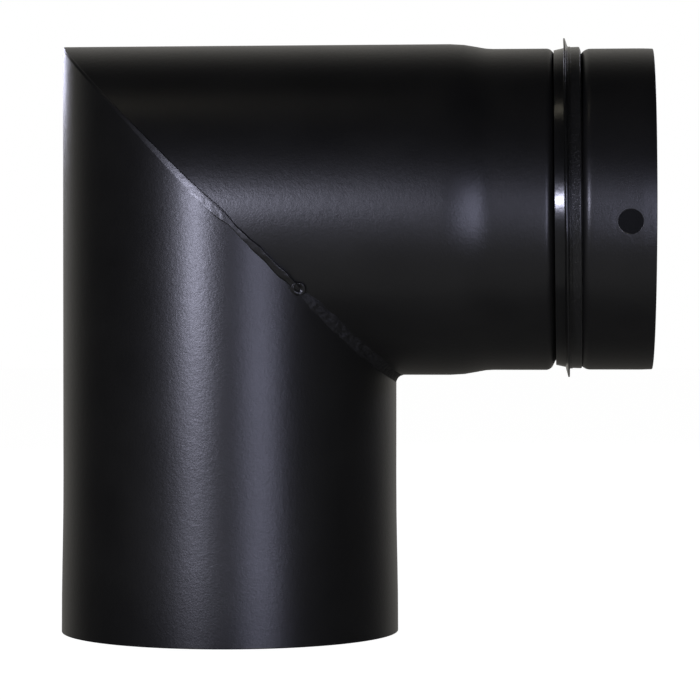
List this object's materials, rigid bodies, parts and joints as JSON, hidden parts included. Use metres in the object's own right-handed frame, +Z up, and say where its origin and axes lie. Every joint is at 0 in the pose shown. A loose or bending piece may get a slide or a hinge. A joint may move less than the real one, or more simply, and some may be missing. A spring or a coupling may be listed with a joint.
{
  "type": "flue elbow",
  "caption": "Black steel stove-pipe elbow, 90 degrees, mitred and welded, with a plain socket leg and a swaged spigot leg carrying a lip seal in a rolled groove.",
  "frame": {"origin": "centre of the plain leg's open rim, in the plane that it stands on", "axes": "+Z up the plain leg's axis, +X out along the spigot leg's axis, -Y the side with the small round hole; the two axes cross at z = 0.105"},
  "size_m": [0.1472, 0.084, 0.1473],
  "materials": {
    "black_paint": "satin, fine heat-resistant stove paint",
    "painted_weld": "the same stove paint over weld metal, rougher on the raised runs",
    "black_silicone": "smooth and glossy on the sloped flank, duller on the land"
  },
  "bodies": {
    "root": {"plain_leg_tube": "black_paint", "plain_leg_seam_weld": "painted_weld", "spigot_leg_tube": "black_paint", "spigot_leg_seam_weld": "painted_weld", "heel_weld_run": "painted_weld", "front_weld_run": "painted_weld", "throat_weld_run": "painted_weld", "back_weld_run": "painted_weld", "weld_junction_blob": "painted_weld", "seal_ring": "black_silicone"}
  },
  "joints": []
}
